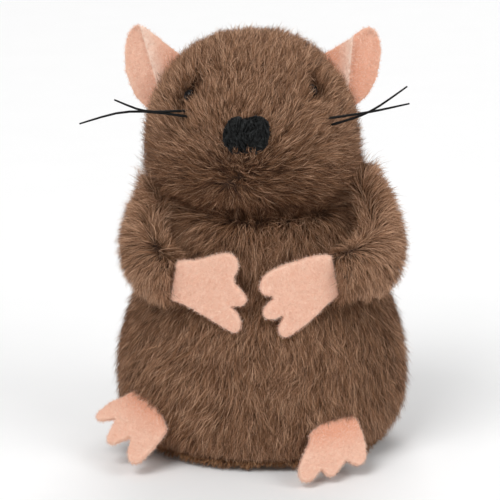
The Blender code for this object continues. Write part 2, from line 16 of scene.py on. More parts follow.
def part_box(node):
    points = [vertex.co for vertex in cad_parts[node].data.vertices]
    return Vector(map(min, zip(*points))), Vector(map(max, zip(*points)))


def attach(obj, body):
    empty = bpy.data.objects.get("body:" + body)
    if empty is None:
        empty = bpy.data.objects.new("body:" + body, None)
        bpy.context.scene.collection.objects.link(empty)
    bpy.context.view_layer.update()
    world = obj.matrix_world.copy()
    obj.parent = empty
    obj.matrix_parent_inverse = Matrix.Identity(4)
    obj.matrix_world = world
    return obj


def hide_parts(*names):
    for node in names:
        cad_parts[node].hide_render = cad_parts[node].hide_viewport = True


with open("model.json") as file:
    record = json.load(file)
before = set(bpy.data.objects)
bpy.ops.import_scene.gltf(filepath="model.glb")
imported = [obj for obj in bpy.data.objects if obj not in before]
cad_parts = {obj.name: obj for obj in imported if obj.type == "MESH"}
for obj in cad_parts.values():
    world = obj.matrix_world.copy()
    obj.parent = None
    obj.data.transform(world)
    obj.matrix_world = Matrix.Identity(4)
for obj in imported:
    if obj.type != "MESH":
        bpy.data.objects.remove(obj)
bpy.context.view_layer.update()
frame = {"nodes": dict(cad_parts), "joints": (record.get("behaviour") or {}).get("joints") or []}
MM = 0.001
SIDES = {"right": -1, "left": 1}

# The noise starts from the same place in every run
noise.seed_set(1)

# The size of the even faces that each kind of piece is made of, and the rounds of smoothing that follow
FACE_SIZES = {"head": 1.0 * MM, "body": 1.1 * MM, "neck": 1.0 * MM, "arm": 0.8 * MM, "felt": 0.35 * MM,
              "nose": 0.3 * MM, "base": 0.6 * MM}
SKIN_SMOOTHING = 3
NOSE_SMOOTHING = 8
BASE_SMOOTHING = 2

# The seeds of the random draws for each kind of piece, and how far apart they are on the two sides
SEEDS = {"head": 11, "body": 25, "arm": 35, "hand": 41, "foot": 43, "ear": 45, "stitches": 3, "fringe": 51,
         "rim": 61}
SIDE_SEED = 4
SEED_OFFSETS = (7.1, 3.3, 5.7)

# Pile length over the body, and over the head and the arms
PILE_LENGTH = 4.4 * MM
LONG_PILE = 0.9 * PILE_LENGTH
SHORT_PILE = 2.4 * MM

# A lock of fibres: its width and steps, how many there are, and how many leave the skin together as a tuft
LOCK_WIDTH = 0.10 * MM
LOCK_STEPS = 4
LOCKS_PER_MM2 = 20.0
LOCKS_A_PIECE = 24000
TUFT_LOCKS = 4

# The angle at which a lock rises from the skin, at its root and at its tip
LOCK_LIFT = (42, 4)

# How far the locks of a tuft draw together at the tip, how thin they get there, and the curves of both
GATHERING = 0.24
GATHERING_CURVE = 1.3
TAPER = 0.9
TAPER_CURVE = 1.8

# How much locks differ in turn, length, tilt and curl: what a tuft shares, and what each lock has of its own
TURN_SPREAD = (0.22, 0.20)
LENGTH_SPREAD = (0.12, 0.12)
TILT_SPREAD = (6, 7)
CURL_SPREAD = (0.3, 0.25)
ROLL_SPREAD = 0.45
WIDTH_SPREAD = 0.15
TUFT_SHADE_SPREAD = 0.14

# No lock reaches lower than this over the floor
FLOOR_GAP = 0.1 * MM

# The width of one shade's column in the map of the locks
SHADE_COLUMN = 1 / 128

# A direction that no thread or bristle runs along
ASKEW = (0.31, 0.17, 0.93)


def joint_part(name, key):
    """Where a joint's axis passes, or its direction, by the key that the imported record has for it."""
    return Vector(next(joint[key] for joint in frame["joints"] if joint["name"] == name))


def cad_mesh(node):
    """The mesh of a CAD node."""
    return frame["nodes"][node].data


def middle_of(*nodes):
    """The middle of the box round some CAD nodes."""
    low, high = box_round(*nodes)
    return (low + high) / 2


def box_round(*nodes):
    """Lowest and highest corners round some CAD nodes."""
    corners = np.array([[*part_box(node)[0], *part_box(node)[1]] for node in nodes])
    return Vector(corners[:, :3].min(0)), Vector(corners[:, 3:].max(0))


def ease(low, high, value):
    """0 below low, 1 above high and a smooth step between, for numbers and arrays."""
    share = np.clip((value - low) / (high - low), 0, 1)
    return share * share * (3 - 2 * share)


def grown(least, share):
    """An amount that grows from the least to 1 with a share."""
    return least + (1 - least) * share


def unit_rows(rows):
    """Each row scaled to length 1."""
    return rows / np.maximum(np.linalg.norm(rows, axis=1, keepdims=True), 1e-12)


def drift(points, scale, seed):
    """A smooth random vector for each point, with patches of about the given size."""
    offset = Vector([seed * step for step in SEED_OFFSETS])
    return np.array([noise.noise_vector(Vector(point) / scale + offset) for point in points])


# Meshes

def link(name, mesh):
    """A new object of the scene that shows the mesh."""
    item = bpy.data.objects.new(name, mesh)
    bpy.context.collection.objects.link(item)
    return item


def arrays_of(mesh):
    """Points, smooth normals and triangles of a mesh."""
    points = np.zeros(len(mesh.vertices) * 3)
    normals = np.zeros(len(mesh.vertices) * 3)
    mesh.vertices.foreach_get("co", points)
    mesh.vertices.foreach_get("normal", normals)
    mesh.calc_loop_triangles()
    triangles = np.zeros(len(mesh.loop_triangles) * 3, int)
    mesh.loop_triangles.foreach_get("vertices", triangles)
    return points.reshape(-1, 3), normals.reshape(-1, 3), triangles.reshape(-1, 3)


def set_points(mesh, points):
    """Moves every point of a mesh."""
    mesh.vertices.foreach_set("co", np.asarray(points, np.float32).ravel())
    mesh.update()


def surface_of(*nodes):
    """A search tree of the surfaces of some CAD nodes."""
    points, faces = [], []
    for node in nodes:
        own_points, _, own_faces = arrays_of(cad_mesh(node))
        faces += (own_faces + sum(len(p) for p in points)).tolist()
        points.append(own_points)
    return BVHTree.FromPolygons(np.concatenate(points).tolist(), faces)


def distance_to(tree, points, reach=20 * MM):
    """Distance of each point from a surface, up to the reach."""
    found = [tree.find_nearest(Vector(point), reach)[3] for point in points]
    return np.array([reach if value is None else value for value in found])


def outer_shell(bm):
    """Keeps the largest loose part of a mesh."""
    bm.verts.ensure_lookup_table()
    seen, parts = set(), []
    for start in bm.verts:
        if start.index in seen:
            continue
        part, open_ends = [], [start]
        seen.add(start.index)
        while open_ends:
            vert = open_ends.pop()
            part.append(vert)
            for edge in vert.link_edges:
                other = edge.other_vert(vert)
                if other.index not in seen:
                    seen.add(other.index)
                    open_ends.append(other)
        parts.append(part)
    biggest = max(parts, key=len)
    kept = {vert.index for vert in biggest}
    bmesh.ops.delete(bm, geom=[vert for vert in bm.verts if vert.index not in kept], context="VERTS")


def remeshed(name, nodes, voxel):
    """One closed form round some CAD nodes, in even small faces."""
    bm = bmesh.new()
    for node in nodes:
        bm.from_mesh(cad_mesh(node))
    mesh = bpy.data.meshes.new(name)
    bm.to_mesh(mesh)
    bm.free()
    item = link(name, mesh)
    remesh = item.modifiers.new("Even faces", "REMESH")
    remesh.mode = "VOXEL"
    remesh.voxel_size = voxel
    graph = bpy.context.evaluated_depsgraph_get()
    even = bpy.data.meshes.new_from_object(item.evaluated_get(graph))
    item.modifiers.clear()
    item.data = even
    bm = bmesh.new()
    bm.from_mesh(even)
    outer_shell(bm)
    bm.to_mesh(even)
    bm.free()
    even.shade_smooth()
    return item


def relax(item, rounds, share=0.5):
    """Smooths a mesh by moving each point towards the middle of its neighbours."""
    mesh = item.data
    edges = np.zeros(len(mesh.edges) * 2, int)
    mesh.edges.foreach_get("vertices", edges)
    first, second = edges.reshape(-1, 2).T
    points = arrays_of(mesh)[0]
    counts = np.bincount(np.concatenate([first, second]), minlength=len(points))[:, None]
    for _ in range(rounds):
        sums = np.zeros_like(points)
        np.add.at(sums, first, points[second])
        np.add.at(sums, second, points[first])
        points += share * (sums / counts - points)
    set_points(mesh, points)


def sink(item, depth_at, steps=3):
    """Moves a surface inwards by the depth that a function gives for each point."""
    depth = depth_at(arrays_of(item.data)[0])
    for _ in range(steps):
        points, normals, _ = arrays_of(item.data)
        set_points(item.data, points - normals * (depth / steps)[:, None])
        relax(item, 2)


def scatter(item, per_mm2, seed):
    """Even random places on a surface: their points and smooth normals."""
    points, normals, triangles = arrays_of(item.data)
    rng = np.random.default_rng(seed)
    corners = points[triangles]
    areas = np.linalg.norm(np.cross(corners[:, 1] - corners[:, 0], corners[:, 2] - corners[:, 0]), axis=1) / 2
    reached = np.cumsum(areas)
    count = int(reached[-1] / MM**2 * per_mm2)
    places = (np.arange(count) + rng.random(count)) / count * reached[-1]
    chosen = triangles[np.minimum(np.searchsorted(reached, places), len(triangles) - 1)]
    a, b = rng.random((2, count))
    over = a + b > 1
    a[over], b[over] = 1 - a[over], 1 - b[over]
    shares = np.stack([1 - a - b, a, b], axis=1)[:, :, None]
    return (points[chosen] * shares).sum(1), unit_rows((normals[chosen] * shares).sum(1))


def ribbon_mesh(name, lines, sides, widths, shades):
    """A mesh of narrow ribbons, one along each line, with a map of shade across and place along."""
    count, rows, _ = lines.shape
    half = widths[:, :, None] / 2
    points = np.stack([lines - sides * half, lines + sides * half], axis=2).reshape(-1, 3)
    starts = (np.arange(count)[:, None] * rows + np.arange(rows - 1)) * 2
    quads = starts.reshape(-1, 1) + np.array([0, 1, 3, 2])
    mesh = bpy.data.meshes.new(name)
    mesh.vertices.add(len(points))
    mesh.vertices.foreach_set("co", points.astype(np.float32).ravel())
    mesh.loops.add(quads.size)
    mesh.loops.foreach_set("vertex_index", quads.astype(np.int32).ravel())
    mesh.polygons.add(len(quads))
    mesh.polygons.foreach_set("loop_start", np.arange(0, quads.size, 4, dtype=np.int32))
    left = np.clip(shades, 0, 1)[:, None] * (1 - SHADE_COLUMN)
    along = np.arange(rows) / (rows - 1)
    u = np.stack([left, left + SHADE_COLUMN, left + SHADE_COLUMN, left], axis=2)
    v = np.stack([along[:-1], along[:-1], along[1:], along[1:]], axis=1)
    uv = np.stack(np.broadcast_arrays(u, v[None]), axis=3)
    layer = mesh.uv_layers.new(name="OFBake")
    layer.data.foreach_set("uv", uv.astype(np.float32).ravel())
    mesh.update(calc_edges=True)
    mesh.shade_smooth()
    return link(name, mesh)


def locks(name, roots, normals, flow, length, width, shades, seed, lift=LOCK_LIFT, rise=0, steps=LOCK_STEPS,
          tufts=TUFT_LOCKS):
    """Locks of fibre that leave the skin, bend over along the flow and gather into small tufts."""
    rng = np.random.default_rng(seed)
    count = len(roots)
    guide = nearest_guides(roots, tufts, rng)

    def own(spread):
        return rng.normal(0, spread, count)

    def shared(spread):
        return own(spread)[guide]

    def vary(tuft_spread, lock_spread):
        return shared(tuft_spread) + own(lock_spread)

    flow = unit_rows(flow - normals * (flow * normals).sum(1, keepdims=True))
    flow = unit_rows(flow + np.cross(normals, flow) * vary(*TURN_SPREAD)[:, None])
    across = np.cross(normals, flow)
    length = length * (1 + vary(*LENGTH_SPREAD))
    tilt = vary(*TILT_SPREAD) + rise
    curl = vary(*CURL_SPREAD)[:, None]
    lines = np.zeros((count, steps + 1, 3))
    lines[:, 0] = roots
    for step in range(steps):
        share = (step + 0.5) / steps
        angle = np.radians(lift[0] + (lift[1] - lift[0]) * share + tilt)[:, None]
        heading = flow * np.cos(angle) + normals * np.sin(angle) + across * curl * share
        lines[:, step + 1] = lines[:, step] + unit_rows(heading) * (length / steps)[:, None]
    along = np.arange(steps + 1) / steps
    gathering = GATHERING * along ** GATHERING_CURVE
    lines += (lines[guide] - lines) * gathering[None, :, None]
    lines[:, :, 2] = np.maximum(lines[:, :, 2], FLOOR_GAP)
    headings = np.gradient(lines, axis=1).reshape(-1, 3)
    roll = np.repeat(own(ROLL_SPREAD), steps + 1)[:, None]
    facing = np.repeat(normals, steps + 1, axis=0) + np.repeat(across, steps + 1, axis=0) * roll
    sides = unit_rows(np.cross(headings, facing)).reshape(lines.shape)
    widths = (width * (1 + own(WIDTH_SPREAD)))[:, None] * (1 - TAPER * along ** TAPER_CURVE)
    return ribbon_mesh(name, lines, sides, widths, shades + shared(TUFT_SHADE_SPREAD))


def nearest_guides(roots, every, rng):
    """For each lock, the lock that leads its tuft."""
    leaders = rng.permutation(len(roots))[: max(len(roots) // every, 1)]
    tree = kdtree.KDTree(len(leaders))
    for place, leader in enumerate(leaders):
        tree.insert(Vector(roots[leader]), place)
    tree.balance()
    return leaders[[tree.find(Vector(root))[1] for root in roots]]


def tubes(name, lines, radii, around=6):
    """A mesh of closed round threads, one along each line."""
    points, faces = [], []
    for line, radius in zip(lines, radii):
        line = np.asarray(line, float)
        radius = np.broadcast_to(radius, len(line))
        headings = unit_rows(np.gradient(line, axis=0))
        side = unit_rows(np.cross(headings, ASKEW))
        up = np.cross(headings, side)
        turns = np.linspace(0, 2 * math.pi, around, endpoint=False)
        ring = side[:, None] * np.cos(turns)[:, None] + up[:, None] * np.sin(turns)[:, None]
        own = line[:, None] + ring * radius[:, None, None]
        first = sum(len(p) for p in points)
        points.append(own.reshape(-1, 3))
        for row in range(len(line) - 1):
            for turn in range(around):
                low, nxt = first + row * around + turn, first + row * around + (turn + 1) % around
                faces.append((low, nxt, nxt + around, low + around))
        faces.append(tuple(range(first + around - 1, first - 1, -1)))
        faces.append(tuple(range(first + (len(line) - 1) * around, first + len(line) * around)))
    mesh = bpy.data.meshes.new(name)
    mesh.from_pydata(np.concatenate(points).tolist(), [], faces)
    mesh.update()
    mesh.shade_smooth()
    return link(name, mesh)


# Materials

class Tone:
    """A socket in a tree of nodes that can stand in sums."""

    def __init__(self, nodes, socket):
        self.nodes = nodes
        self.socket = socket

    def math(self, operation, *values):
        return self.nodes.node("ShaderNodeMath", {"operation": operation}, inputs=values)

    def __add__(self, other):
        return self.math("ADD", self, other)

    def __sub__(self, other):
        return self.math("SUBTRACT", self, other)

    def __mul__(self, other):
        return self.math("MULTIPLY", self, other)

    def __pow__(self, other):
        return self.math("POWER", self, other)


class Nodes:
    """A tree of nodes, with one method that adds any node to it."""

    def __init__(self, tree):
        self.tree = tree

    def node(self, kind, settings=None, inputs=(), output=0, **named):
        """Adds a node, sets it up, then fills its sockets, by place or by name, with values or links."""
        node = self.tree.nodes.new(kind)
        for key, value in (settings or {}).items():
            if key == "stops":
                self.fill_ramp(node.color_ramp, value)
            else:
                setattr(node, key, value)
        placed = inputs.items() if isinstance(inputs, dict) else enumerate(inputs)
        for key, value in [*placed, *named.items()]:
            socket = node.inputs[key if isinstance(key, int) else key.replace("_", " ")]
            if isinstance(value, Tone):
                self.tree.links.new(value.socket, socket)
            else:
                socket.default_value = value
        return Tone(self, node.outputs[output]) if node.outputs else None

    def fill_ramp(self, ramp, stops):
        """Sets the stops of a colour ramp from places and colours."""
        while len(ramp.elements) < len(stops):
            ramp.elements.new(0.5)
        for element, (place, colour) in zip(ramp.elements, stops):
            element.position = place
            element.color = (*colour, 1)


class Paint(Nodes):
    """A material under way."""

    def __init__(self, name, **constants):
        self.material = bpy.data.materials.new(name)
        self.material.use_nodes = True
        super().__init__(self.material.node_tree)
        self.shader = self.tree.nodes["Principled BSDF"]
        for socket, value in constants.items():
            self.shader.inputs[socket.replace("_", " ")].default_value = value

    def mix(self, share, first, second, how="MIX"):
        """Two colours mixed by a share."""
        colours = [value if isinstance(value, Tone) else (*value, 1) for value in (first, second)]
        settings = {"data_type": "RGBA", "blend_type": how}
        return self.node("ShaderNodeMix", settings, inputs={0: share, 6: colours[0], 7: colours[1]}, output=2)

    def place(self):
        """Places in the toy's own frame, in metres."""
        return self.node("ShaderNodeTexCoord", output=3)

    def ramp(self, share, *stops):
        """A colour picked from a ramp by a share."""
        return self.node("ShaderNodeValToRGB", {"stops": stops}, inputs=[share])

    def lock_map(self, output):
        """The map of the locks: output 0 is each lock's shade, output 1 runs from its root to its tip."""
        places = self.node("ShaderNodeUVMap", {"uv_map": "OFBake"})
        return self.node("ShaderNodeSeparateXYZ", inputs=[places], output=output)

    def noise(self, size, detail=2, roughness=0.5):
        """Soft mottling with patches of about the given size, in metres."""
        return self.node("ShaderNodeTexNoise", Vector=self.place(), Scale=1 / size, Detail=detail,
                         Roughness=roughness)

    def bump(self, height, depth):
        """A normal from a height of 0 to 1 and the depth that 1 stands for."""
        normal = self.node("ShaderNodeBump", Strength=1.0, Distance=depth, Height=height)
        self.tree.links.new(normal.socket, self.shader.inputs["Normal"])

    def to(self, socket, value):
        """Feeds one socket of the shader."""
        self.tree.links.new(value.socket, self.shader.inputs[socket])


def fur_paint():
    """Brown pile fibre: painted shade towards the root, deep in the pile, and from dark to tan over the
    locks.
    """
    paint = Paint("fur_brown", Roughness=0.6, Specular_IOR_Level=0.2)
    dark, brown, tan = (0.060, 0.022, 0.009), (0.285, 0.137, 0.067), (0.700, 0.430, 0.275)
    lock = paint.ramp(paint.lock_map(0), (0.0, dark), (0.5, brown), (1.0, tan))
    # Painted shade: each lock darkens towards its root, where the pile shades itself
    in_shade, in_light = (0.30, 0.27, 0.25), (1, 1, 1)
    depth = paint.ramp(paint.lock_map(1), (0.0, in_shade), (0.5, in_light))
    paint.to("Base Color", paint.mix(1.0, lock, depth, "MULTIPLY"))
    return paint.material


def backing_paint():
    """Knitted backing cloth under the pile, nearly hidden, its brown darkened with painted shade of the deep
    pile.
    """
    paint = Paint("pile_backing", Roughness=0.9)
    mottle = paint.noise(0.5 * MM, detail=3)
    # Painted shade: the backing's brown is kept very dark, as the shade of the pile lies over it
    dark, brown = (0.030, 0.013, 0.007), (0.075, 0.035, 0.018)
    paint.to("Base Color", paint.mix(mottle, dark, brown))
    paint.bump(mottle, 0.1 * MM)
    return paint.material


def felt_paint(name, painted_shade_from=None, reach=None, crease=None):
    """Peach felt: short matted fibres, a faint mottle and, where asked, painted shade near the pile, a deeper
    tone where the pile overlaps the felt.

    An ear's crease, given as a plane, gets a painted highlight, pale on the ply that stands forward.
    """
    paint = Paint(name, Roughness=0.85, Sheen_Weight=0.25, Sheen_Roughness=0.4, Specular_IOR_Level=0.2)
    mottle = paint.noise(2.2 * MM, detail=3, roughness=0.6)
    fibres = paint.noise(0.35 * MM, detail=4, roughness=0.7)
    peach, pale, loose = (0.80, 0.43, 0.295), (0.91, 0.585, 0.445), (0.96, 0.71, 0.57)
    colour = paint.mix(fibres * 0.6, paint.mix(mottle, peach, pale), loose)
    if painted_shade_from:
        # Painted shade: a deeper, redder peach near the pile, where the pile overlaps and shades the felt
        distance, painted_shade = {"operation": "DISTANCE"}, (0.80, 0.33, 0.19)
        places = [paint.place(), painted_shade_from]
        away = paint.node("ShaderNodeVectorMath", distance, inputs=places, output=1)
        depth = paint.node("ShaderNodeMapRange", inputs=[away, *reach, 1.0, 0.0])
        colour = paint.mix(depth * 0.7, colour, painted_shade)
    if crease:
        normal, offset = crease
        # Painted highlight: the ply that stands forward is pale beside the crease and fades away from it
        product, painted_highlight = {"operation": "DOT_PRODUCT"}, (0.98, 0.80, 0.68)
        places = [paint.place(), normal]
        inward = paint.node("ShaderNodeVectorMath", product, inputs=places, output=1) - offset
        forward = paint.node("ShaderNodeMapRange", inputs=[inward, 0.0, PLY_EDGE[1], 0.0, 1.0])
        rubs_and_highlight = paint.node("ShaderNodeMapRange", inputs=[inward, 0.6 * MM, PLY_FADE, 1.0, 0.0])
        colour = paint.mix(forward * rubs_and_highlight * 0.75, colour, painted_highlight)
    paint.to("Base Color", colour)
    paint.bump(fibres * 0.7 + mottle * 0.3, 0.16 * MM)
    return paint.material


def nap_paint():
    """Loose fibres on the face of the felt."""
    paint = Paint("felt_nap", Roughness=0.8, Specular_IOR_Level=0.2)
    deep, pale = (0.76, 0.40, 0.27), (0.99, 0.80, 0.67)
    paint.to("Base Color", paint.ramp(paint.lock_map(0), (0.0, deep), (1.0, pale)))
    return paint.material


def thread_paint():
    """Black embroidery thread with a slight shine, and painted glints of grey where light catches its fibres.
    """
    paint = Paint("thread_black", Roughness=0.42, Specular_IOR_Level=0.16)
    fibres = paint.noise(0.25 * MM, detail=3)
    # Painted glints: sparse patches where the thread is lightened to grey, standing for light caught on its
    # fibres
    painted_highlight = paint.noise(0.7 * MM) ** 4.0
    black, grey = (0.001, 0.001, 0.001), (0.12, 0.13, 0.13)
    paint.to("Base Color", paint.mix(fibres * painted_highlight * 1.6, black, grey))
    paint.bump(fibres, 0.05 * MM)
    return paint.material


def bead_paint():
    """Polished black bead with faint rub marks."""
    paint = Paint("bead_black", Specular_IOR_Level=0.15)
    rubs_and_highlight = paint.noise(0.6 * MM, detail=4)
    black, rub_mark = (0.003, 0.002, 0.002), (0.008, 0.006, 0.005)
    paint.to("Base Color", paint.mix(rubs_and_highlight, black, rub_mark))
    paint.to("Roughness", rubs_and_highlight * 0.2 + 0.12)
    return paint.material


def bristle_paint():
    """Black drawn bristle with fine lengthways marks."""
    paint = Paint("bristle_black", Specular_IOR_Level=0.15)
    drawn = paint.noise(0.4 * MM)
    black, mark = (0.002, 0.002, 0.002), (0.008, 0.008, 0.008)
    paint.to("Base Color", paint.mix(drawn, black, mark))
    paint.to("Roughness", drawn * 0.2 + 0.4)
    return paint.material


def base_paint():
    """Orange-brown backing of the base."""
    paint = Paint("base_plush", Roughness=0.9, Sheen_Weight=0.15)
    tufts = paint.noise(0.5 * MM, detail=4, roughness=0.7)
    brown, orange = (0.085, 0.038, 0.018), (0.230, 0.115, 0.060)
    paint.to("Base Color", paint.mix(tufts, brown, orange))
    paint.bump(tufts, 0.3 * MM)
    return paint.material


def rim_paint():
    """Short orange-brown pile of the base's turned edge."""
    paint = Paint("base_pile", Roughness=0.7, Specular_IOR_Level=0.15)
    dark, brown, tan = (0.080, 0.030, 0.011), (0.290, 0.138, 0.062), (0.560, 0.320, 0.175)
    paint.to("Base Color", paint.ramp(paint.lock_map(0), (0.0, dark), (0.5, brown), (1.0, tan)))
    return paint.material


# Stuffed pieces

# How deep each skin lies under the mean surface of the fur, and how far it sinks under the eyes
BODY_PILE_DEPTH = 1.5 * MM
HEAD_PILE_DEPTH = 2.3 * MM
ARM_PILE_DEPTH = 2.4 * MM
EYE_HOLLOW_DEPTH = 1.8 * MM

# The least share of that depth: by the nose, at the chin, under the head and against what an arm touches
NOSE_DEPTH = 0.5
CHIN_DEPTH = 0.25
NAPE_DEPTH = 0.15
ARM_DEPTH = 0.1

# Between what distances from there it grows to all of the depth
NOSE_DEPTH_REACH = (5 * MM, 16 * MM)
CHIN_DEPTH_RISE = 9 * MM
NAPE_DEPTH_REACH = (2 * MM, 7 * MM)
ARM_DEPTH_REACH = (0.8 * MM, 4.5 * MM)
SEAM_DEPTH_RISE = 1.5 * MM

# The same for the length of the pile, which is least over the base's seam and where an arm meets the body
SEAM_LENGTH = 0.35
SEAM_LENGTH_RISE = 6 * MM
ARM_LENGTH = 0.3
ARM_LENGTH_REACH = (0.6 * MM, 4 * MM)
NOSE_LENGTH_REACH = (5 * MM, 20 * MM)
NOSE_MARGIN = 0.7 * MM

# The face's whorl, where the pile parts below the nose
WHORL = Vector((-6.6, -26.0, 66.3)) * MM
WHORL_REACH = (3 * MM, 12 * MM)

# Where the pile of each arm fans from, seen from the wrist
ARM_WHORLS = {"right": Vector((-2.4, 4.8, 9.5)) * MM, "left": Vector((4.6, 5.9, 11.0)) * MM}
ARM_WHORL_REACH = (2 * MM, 9 * MM)

# The run of the pile behind the head and on the arms, and how far back the face's run gives way to it
BACK_RUN = np.array([0, 0.2, -1])
BACK_REACH = (2 * MM, 16 * MM)
ARM_RUN = np.array([0, 0, -0.25])

# How far the belly's pile fans to each side
RIGHT_FAN = 0.55
LEFT_FAN = 0.35
FAN_REACH = (10 * MM, -10 * MM)

# Unevenness of the run: strength, size and seed of its patches and of its tufts, and how much stronger
# the tufts are at a whorl
HEAD_RUFFLE = ((0.45, 7 * MM, 2), (0.45, 1.6 * MM, 8), 1.1)
TORSO_RUFFLE = ((0.5, 9 * MM, 3), (0.45, 2.0 * MM, 9), 0)
ARM_RUFFLE = ((0.3, 8 * MM, 4), (0.4, 2.4 * MM, 7), 1.2)

# The parting at each eye, from the bead to its upper end, and as far below the bead. Depth under the
# fur's surface counts less than distance over it.
EYE_HOLLOWS = {"right": Vector((1.2, -0.2, 2.8)) * MM, "left": Vector((0.1, 0.4, 2.4)) * MM}
DEPTH_LEFT_OUT = 0.7

# Within what distances of the parting the skin sinks, and the pile is combed aside, short and dark with
# painted shade
HOLLOW_REACH = (0.8 * MM, 2.6 * MM)
PARTING_REACH = (0.8 * MM, 3.5 * MM)
PARTING_PULL = 1.8
EYE_LENGTH_REACH = (1.4 * MM, 3.4 * MM)
EYE_SHORTENING = 0.7
EYE_PAINTED_SHADE_REACH = (0.8 * MM, 2.2 * MM)
EYE_PAINTED_SHADE = 1.5

# The tuft that stands up on the head, and how much longer its pile is
CROWN = Vector((3.0, -5.0, 98.0)) * MM
CROWN_REACH = (1 * MM, 5 * MM)
CROWN_GROWTH = 0.45

# Shade of the locks, 0 for dark and 1 for tan: its middle, its patches and the spread from lock to lock
MIDDLE_SHADE = 0.48
PATCH_SHADE = 0.10
PATCH_SIZE = 6 * MM
SHADE_SPREAD = 0.29

# How much lighter the torso and the arms are, how much darker the lower face, partly its deeper tone and
# partly painted shade under the light from above, and how much darker the specks at the whorl
TORSO_SHADE = -0.04
ARM_SHADE = 0.13
LOW_SHADE = 0.24
LOW_REACH = (-4 * MM, 15 * MM)
SPECK_SHADE = 0.45
SPECK_SIZE = 1.6 * MM
SPECK_LEVELS = (0.25, 0.5)
SPECK_REACH = (2 * MM, 9 * MM)

# Where another piece of the toy lies close, the pile is longer, lighter by painted light that eases the gap's
# shade, and stands up by this many degrees, but less on the sides, and it stays dark under the chin
CLOSE_REACH = (2 * MM, 6 * MM)
CLOSE_RISE = 38
CLOSE_GROWTH = 0.6
CLOSE_PAINTED_LIGHT = 0.18
SIDE_EASING = 0.7
CHIN_X = -1.7 * MM
CHIN_REACH = (3 * MM, 9 * MM)

# The base's panel hides the body's underside, where no pile grows
UNDERSIDE = -0.8

# The gathers of the neck
NECK_GATHERS = 18
GATHER_DEPTH = 0.25 * MM


def finish(piece, paint, body, slot, *nodes):
    """Gives a piece its material, hangs it on its body and lets it stand for CAD nodes."""
    piece.data.materials.clear()
    piece.data.materials.append(paint)
    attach(piece, body)
    if nodes:
        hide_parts(*nodes)
    return piece


def away_from(place, points):
    """Distance of each point from one place."""
    return np.linalg.norm(points - np.array(place), axis=1)


def eye_offsets(points):
    """How far each point lies from the line of the nearer eye's parting, and which way."""
    offsets = []
    for side, rise in EYE_HOLLOWS.items():
        rise = np.array(rise)
        eye = middle_of(f"eye_{side}")
        out = np.array((eye - middle_of("head_filling")).normalized())
        from_eye = points - np.array(eye)
        from_eye -= DEPTH_LEFT_OUT * (from_eye @ out)[:, None] * out
        along = np.clip(from_eye @ rise / (rise @ rise), -1, 1)[:, None]
        offsets.append(from_eye - along * rise)
    right, left = offsets
    nearer = np.linalg.norm(right, axis=1) < np.linalg.norm(left, axis=1)
    return np.where(nearer[:, None], right, left)


def eye_pit(points, inner, outer):
    """1 in the parting at each eye, up to the inner distance, and 0 beyond the outer distance."""
    return 1 - ease(inner, outer, np.linalg.norm(eye_offsets(points), axis=1))


def head_depth(points):
    """Depth of the head's skin below the fur's mean surface: less round the nose and over the neck."""
    far = ease(*NOSE_DEPTH_REACH, away_from(middle_of("nose_patch"), points))
    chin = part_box("head_filling")[0].z
    high = ease(chin, chin + CHIN_DEPTH_RISE, points[:, 2])
    depth = HEAD_PILE_DEPTH * grown(NOSE_DEPTH, far) * grown(CHIN_DEPTH, high)
    return depth + EYE_HOLLOW_DEPTH * eye_pit(points, *HOLLOW_REACH)


def ruffle(points, kind, near=0):
    """Unevenness of the pile's run; near a whorl its small tufts are stronger."""
    patches, tufts, at_whorl = kind
    coarse = patches[0] * drift(points, *patches[1:])
    return coarse + (tufts[0] + at_whorl * near) * drift(points, *tufts[1:])


def head_flow(points):
    """The pile runs out from the whorl over the face, parts at the eyes and runs down behind the head."""
    away = unit_rows(points - np.array(WHORL))
    near = 1 - ease(*WHORL_REACH, away_from(WHORL, points))[:, None]
    back = ease(*BACK_REACH, points[:, 1:2])
    opened = eye_pit(points, *PARTING_REACH)[:, None]
    parting = PARTING_PULL * opened * unit_rows(eye_offsets(points))
    return away * (1 - back) + BACK_RUN * back + parting + ruffle(points, HEAD_RUFFLE, near)


def torso_flow(points):
    """The pile runs down and fans a little to the sides."""
    side = points[:, 0] / box_round("body_front_panel")[1].x
    fan = np.where(side < 0, RIGHT_FAN * side, -LEFT_FAN * np.sin(math.pi * np.clip(side, 0, 1)))
    front = ease(*FAN_REACH, points[:, 1])
    flow = np.stack([fan * front, np.zeros(len(points)), -np.ones(len(points))], axis=1)
    return flow + ruffle(points, TORSO_RUFFLE)


def arm_flow(side):
    """A function that gives the run of the pile on an arm: a fan from the crease over the wrist."""
    whorl = joint_part(f"hand_{side}_flap", "pos_m") + ARM_WHORLS[side]

    def flow(points):
        away = unit_rows(points - np.array(whorl))
        near = 1 - ease(*ARM_WHORL_REACH, away_from(whorl, points))[:, None]
        return away * (1 - 0.6 * near) + ARM_RUN + ruffle(points, ARM_RUFFLE, near)

    return flow


def shade_of(points, seed):
    """Shade of each lock: patches of lighter and darker pile and a spread from lock to lock."""
    rng = np.random.default_rng(seed)
    patches = drift(points, PATCH_SIZE, seed)[:, 0]
    return MIDDLE_SHADE + PATCH_SHADE * patches + rng.normal(0, SHADE_SPREAD, len(points))


def head_shade(points, seed):
    """Shade over the head: painted shade in the partings at the eyes, with dark specks by the whorl."""
    near = 1 - ease(*SPECK_REACH, away_from(WHORL, points))
    specks = near * ease(*SPECK_LEVELS, drift(points, SPECK_SIZE, seed + 5)[:, 1])
    # Partly painted shade, partly its deeper, redder tone: the lower face darker, where less light falls from
    # above
    low = 1 - ease(*LOW_REACH, points[:, 2] - WHORL.z)
    # Painted shade: the locks in the partings at the eyes darkened as the shade of a hollow
    pit = eye_pit(points, *EYE_PAINTED_SHADE_REACH)
    return shade_of(points, seed) - EYE_PAINTED_SHADE * pit - SPECK_SHADE * specks - LOW_SHADE * low


